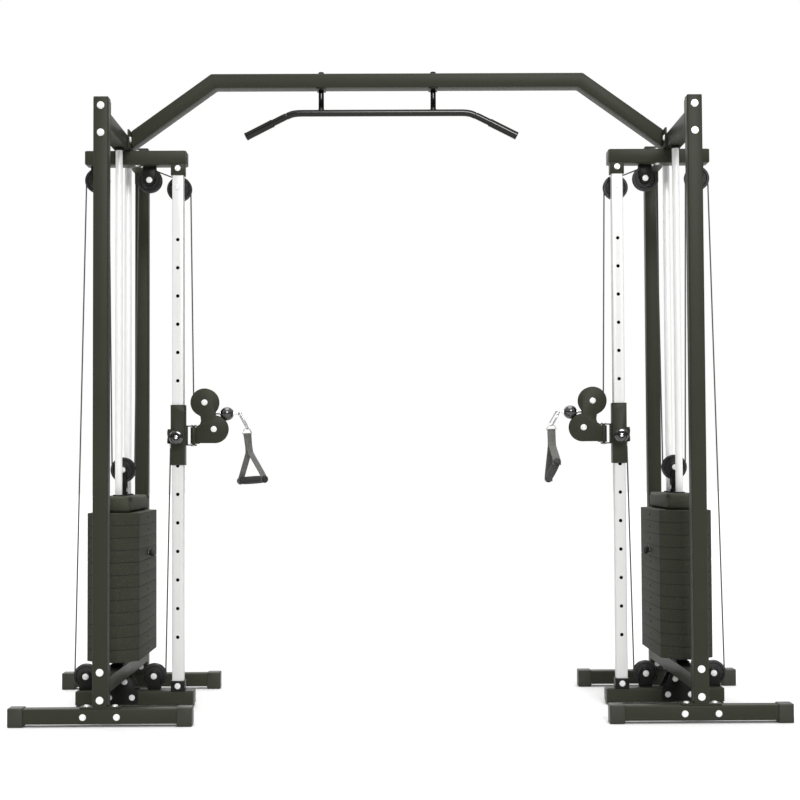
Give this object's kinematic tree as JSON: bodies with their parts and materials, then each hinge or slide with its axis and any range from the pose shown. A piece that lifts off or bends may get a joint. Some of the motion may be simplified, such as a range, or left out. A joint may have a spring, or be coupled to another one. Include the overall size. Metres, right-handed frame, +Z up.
{
  "type": "cable crossover machine",
  "caption": "Gym frame of weight-stack towers under a bent overhead beam with a pull-up bar; a pinned carriage with swivel pulleys and a strap handle rides the punched post of each tower",
  "frame": {"origin": "on the floor, at the bottom centre of the bounding box, midway between the towers and between the uprights", "axes": "+X from the left tower to the right one as the user sees them, +Y away from the user, to the rear, +Z up"},
  "size_m": [2.556, 0.955, 2.2525],
  "materials": {
    "frame_paint": "charcoal satin powder coat",
    "black_steel": "black satin powder coat",
    "bright_post": "bright silver",
    "chrome": "polished",
    "pulley_nylon": "black moulded nylon",
    "weight_shell": "speckled grey shell",
    "cable_jacket": "dark nylon jacket",
    "dark_chrome": "gloss gunmetal",
    "grip_and_webbing": "dark grey woven webbing and black grip",
    "rubber": "gloss black"
  },
  "bodies": {
    "frame": {"overhead_beam": "frame_paint", "pullup_bar": "dark_chrome", "left_front_foot": "frame_paint", "left_rear_foot": "frame_paint", "left_front_upright": "frame_paint", "left_rear_upright": "frame_paint", "left_base_rail": "frame_paint", "left_top_rail": "frame_paint", "left_lower_crossbar": "frame_paint", "left_upper_crossbar": "frame_paint", "left_adjustment_post": "bright_post", "left_guide_rods": "chrome", "left_weight_plates_resting": "weight_shell", "left_cable": "cable_jacket", "right_front_foot": "frame_paint", "right_rear_foot": "frame_paint", "right_front_upright": "frame_paint", "right_rear_upright": "frame_paint", "right_base_rail": "frame_paint", "right_top_rail": "frame_paint", "right_lower_crossbar": "frame_paint", "right_upper_crossbar": "frame_paint", "right_adjustment_post": "bright_post", "right_guide_rods": "chrome", "right_weight_plates_resting": "weight_shell", "right_cable": "cable_jacket"},
    "left_carriage": {"left_carriage_sleeve": "frame_paint"},
    "left_pop_pin_body": {"left_pop_pin": "black_steel"},
    "left_arm": {"left_swivel_arm": "frame_paint"},
    "left_cable_end": {"left_ball_and_hook": "rubber"},
    "left_handle_body": {"left_handle": "grip_and_webbing"},
    "left_stack": {"left_weight_plates_lifted": "weight_shell", "left_head_plate": "weight_shell", "left_selector_stem": "black_steel"},
    "left_selector": {"left_selector_pin": "black_steel"},
    "left_pulley_top_outer_wheel": {"left_pulley_top_outer": "pulley_nylon"},
    "left_pulley_top_inner_wheel": {"left_pulley_top_inner": "pulley_nylon"},
    "left_pulley_post_top_wheel": {"left_pulley_post_top": "pulley_nylon"},
    "left_pulley_stack_wheel": {"left_pulley_stack": "pulley_nylon"},
    "left_pulley_low_outer_wheel": {"left_pulley_low_outer": "pulley_nylon"},
    "left_pulley_low_inner_wheel": {"left_pulley_low_inner": "pulley_nylon"},
    "left_pulley_arm_upper_wheel": {"left_pulley_arm_upper": "pulley_nylon"},
    "left_pulley_arm_lower_wheel": {"left_pulley_arm_lower": "pulley_nylon"},
    "right_carriage": {"right_carriage_sleeve": "frame_paint"},
    "right_pop_pin_body": {"right_pop_pin": "black_steel"},
    "right_arm": {"right_swivel_arm": "frame_paint"},
    "right_cable_end": {"right_ball_and_hook": "rubber"},
    "right_handle_body": {"right_handle": "grip_and_webbing"},
    "right_stack": {"right_weight_plates_lifted": "weight_shell", "right_head_plate": "weight_shell", "right_selector_stem": "black_steel"},
    "right_selector": {"right_selector_pin": "black_steel"},
    "right_pulley_top_outer_wheel": {"right_pulley_top_outer": "pulley_nylon"},
    "right_pulley_top_inner_wheel": {"right_pulley_top_inner": "pulley_nylon"},
    "right_pulley_post_top_wheel": {"right_pulley_post_top": "pulley_nylon"},
    "right_pulley_stack_wheel": {"right_pulley_stack": "pulley_nylon"},
    "right_pulley_low_outer_wheel": {"right_pulley_low_outer": "pulley_nylon"},
    "right_pulley_low_inner_wheel": {"right_pulley_low_inner": "pulley_nylon"},
    "right_pulley_arm_upper_wheel": {"right_pulley_arm_upper": "pulley_nylon"},
    "right_pulley_arm_lower_wheel": {"right_pulley_arm_lower": "pulley_nylon"}
  },
  "joints": [
    {"name": "left_carriage_slide", "type": "slide", "parent": "frame", "child": "left_carriage", "axis": [0, 0, 1], "range_m": [-0.7, 0.7], "deforming": ["left_cable"]},
    {"name": "left_pop_pin_slide", "type": "slide", "parent": "left_carriage", "child": "left_pop_pin_body", "axis": [0, 1, 0], "range_m": [0, 0.012]},
    {"name": "left_arm_swivel", "type": "hinge", "parent": "left_carriage", "child": "left_arm", "pos_m": [-0.729, 0, 0.9525], "axis": [0, 0, 1], "range_deg": [-70, 70], "deforming": ["left_cable"]},
    {"name": "left_cable_pull", "type": "slide", "parent": "left_arm", "child": "left_cable_end", "axis": [1, 0, 0], "range_m": [0, 0.4202], "deforming": ["left_cable"]},
    {"name": "left_handle_swing", "type": "hinge", "parent": "left_cable_end", "child": "left_handle_body", "pos_m": [-0.5403, 0, 0.9736], "axis": [0, 1, 0], "range_deg": [-60, 35]},
    {"name": "left_stack_lift", "type": "slide", "parent": "frame", "child": "left_stack", "axis": [0, 0, 1], "range_m": [0, 0.21], "deforming": ["left_cable"]},
    {"name": "left_selector_draw", "type": "slide", "parent": "left_stack", "child": "left_selector", "axis": [1, 0, 0], "range_m": [0, 0.04]},
    {"name": "left_arm_upper_spin", "type": "hinge", "parent": "left_arm", "child": "left_pulley_arm_upper_wheel", "pos_m": [-0.689, 0, 1.0695], "axis": [0, 1, 0], "range_deg": [-602, 602]},
    {"name": "left_arm_lower_spin", "type": "hinge", "parent": "left_arm", "child": "left_pulley_arm_lower_wheel", "pos_m": [-0.656, 0, 0.9747], "axis": [0, 1, 0], "continuous": true},
    {"name": "left_post_top_spin", "type": "hinge", "parent": "frame", "child": "left_pulley_post_top_wheel", "pos_m": [-0.779, 0, 1.832], "axis": [0, 1, 0], "range_deg": [-602, 602]},
    {"name": "left_top_inner_spin", "type": "hinge", "parent": "frame", "child": "left_pulley_top_inner_wheel", "pos_m": [-0.885, 0, 1.864], "axis": [0, 1, 0], "range_deg": [-602, 602]},
    {"name": "left_stack_spin", "type": "hinge", "parent": "left_stack", "child": "left_pulley_stack_wheel", "pos_m": [-0.9785, 0, 0.832], "axis": [0, 1, 0], "range_deg": [-602, 602]},
    {"name": "left_top_outer_spin", "type": "hinge", "parent": "frame", "child": "left_pulley_top_outer_wheel", "pos_m": [-1.071, 0, 1.864], "axis": [0, 1, 0], "range_deg": [-1003, 1003]},
    {"name": "left_low_outer_spin", "type": "hinge", "parent": "frame", "child": "left_pulley_low_outer_wheel", "pos_m": [-1.1085, 0, 0.1045], "axis": [0, 1, 0], "range_deg": [-1003, 1003]},
    {"name": "left_low_inner_spin", "type": "hinge", "parent": "frame", "child": "left_pulley_low_inner_wheel", "pos_m": [-0.868, 0, 0.1045], "axis": [0, 1, 0], "range_deg": [-1003, 1003]},
    {"name": "right_carriage_slide", "type": "slide", "parent": "frame", "child": "right_carriage", "axis": [0, 0, 1], "range_m": [-0.7, 0.7], "deforming": ["right_cable"]},
    {"name": "right_pop_pin_slide", "type": "slide", "parent": "right_carriage", "child": "right_pop_pin_body", "axis": [0, 1, 0], "range_m": [0, 0.012]},
    {"name": "right_arm_swivel", "type": "hinge", "parent": "right_carriage", "child": "right_arm", "pos_m": [0.729, 0, 0.9525], "axis": [0, 0, 1], "range_deg": [-70, 70], "deforming": ["right_cable"]},
    {"name": "right_cable_pull", "type": "slide", "parent": "right_arm", "child": "right_cable_end", "axis": [-1, 0, 0], "range_m": [0, 0.4202], "deforming": ["right_cable"]},
    {"name": "right_handle_swing", "type": "hinge", "parent": "right_cable_end", "child": "right_handle_body", "pos_m": [0.5425, 0, 0.981], "axis": [0, 1, 0], "range_deg": [-35, 60]},
    {"name": "right_stack_lift", "type": "slide", "parent": "frame", "child": "right_stack", "axis": [0, 0, 1], "range_m": [0, 0.21], "deforming": ["right_cable"]},
    {"name": "right_selector_draw", "type": "slide", "parent": "right_stack", "child": "right_selector", "axis": [-1, 0, 0], "range_m": [0, 0.04]},
    {"name": "right_arm_upper_spin", "type": "hinge", "parent": "right_arm", "child": "right_pulley_arm_upper_wheel", "pos_m": [0.689, 0, 1.0695], "axis": [0, 1, 0], "range_deg": [-602, 602]},
    {"name": "right_arm_lower_spin", "type": "hinge", "parent": "right_arm", "child": "right_pulley_arm_lower_wheel", "pos_m": [0.656, 0, 0.9747], "axis": [0, 1, 0], "continuous": true},
    {"name": "right_post_top_spin", "type": "hinge", "parent": "frame", "child": "right_pulley_post_top_wheel", "pos_m": [0.779, 0, 1.832], "axis": [0, 1, 0], "range_deg": [-602, 602]},
    {"name": "right_top_inner_spin", "type": "hinge", "parent": "frame", "child": "right_pulley_top_inner_wheel", "pos_m": [0.885, 0, 1.864], "axis": [0, 1, 0], "range_deg": [-602, 602]},
    {"name": "right_stack_spin", "type": "hinge", "parent": "right_stack", "child": "right_pulley_stack_wheel", "pos_m": [0.9785, 0, 0.832], "axis": [0, 1, 0], "range_deg": [-602, 602]},
    {"name": "right_top_outer_spin", "type": "hinge", "parent": "frame", "child": "right_pulley_top_outer_wheel", "pos_m": [1.071, 0, 1.864], "axis": [0, 1, 0], "range_deg": [-1003, 1003]},
    {"name": "right_low_outer_spin", "type": "hinge", "parent": "frame", "child": "right_pulley_low_outer_wheel", "pos_m": [1.1085, 0, 0.1045], "axis": [0, 1, 0], "range_deg": [-1003, 1003]},
    {"name": "right_low_inner_spin", "type": "hinge", "parent": "frame", "child": "right_pulley_low_inner_wheel", "pos_m": [0.868, 0, 0.1045], "axis": [0, 1, 0], "range_deg": [-1003, 1003]}
  ],
  "couplings": [
    {"joint": "left_arm_upper_spin", "follows": "left_stack_lift", "rad_per_m": -50},
    {"joint": "left_post_top_spin", "follows": "left_stack_lift", "rad_per_m": 50},
    {"joint": "left_top_inner_spin", "follows": "left_stack_lift", "rad_per_m": 50},
    {"joint": "left_stack_spin", "follows": "left_stack_lift", "rad_per_m": -25},
    {"joint": "left_top_outer_spin", "follows": "left_carriage_slide", "rad_per_m": -25},
    {"joint": "left_low_outer_spin", "follows": "left_carriage_slide", "rad_per_m": -25},
    {"joint": "left_low_inner_spin", "follows": "left_carriage_slide", "rad_per_m": -25},
    {"joint": "left_cable_pull", "follows": "left_stack_lift", "ratio": 2},
    {"joint": "right_arm_upper_spin", "follows": "right_stack_lift", "rad_per_m": 50},
    {"joint": "right_post_top_spin", "follows": "right_stack_lift", "rad_per_m": -50},
    {"joint": "right_top_inner_spin", "follows": "right_stack_lift", "rad_per_m": -50},
    {"joint": "right_stack_spin", "follows": "right_stack_lift", "rad_per_m": 25},
    {"joint": "right_top_outer_spin", "follows": "right_carriage_slide", "rad_per_m": 25},
    {"joint": "right_low_outer_spin", "follows": "right_carriage_slide", "rad_per_m": 25},
    {"joint": "right_low_inner_spin", "follows": "right_carriage_slide", "rad_per_m": 25},
    {"joint": "right_cable_pull", "follows": "right_stack_lift", "ratio": 2}
  ]
}
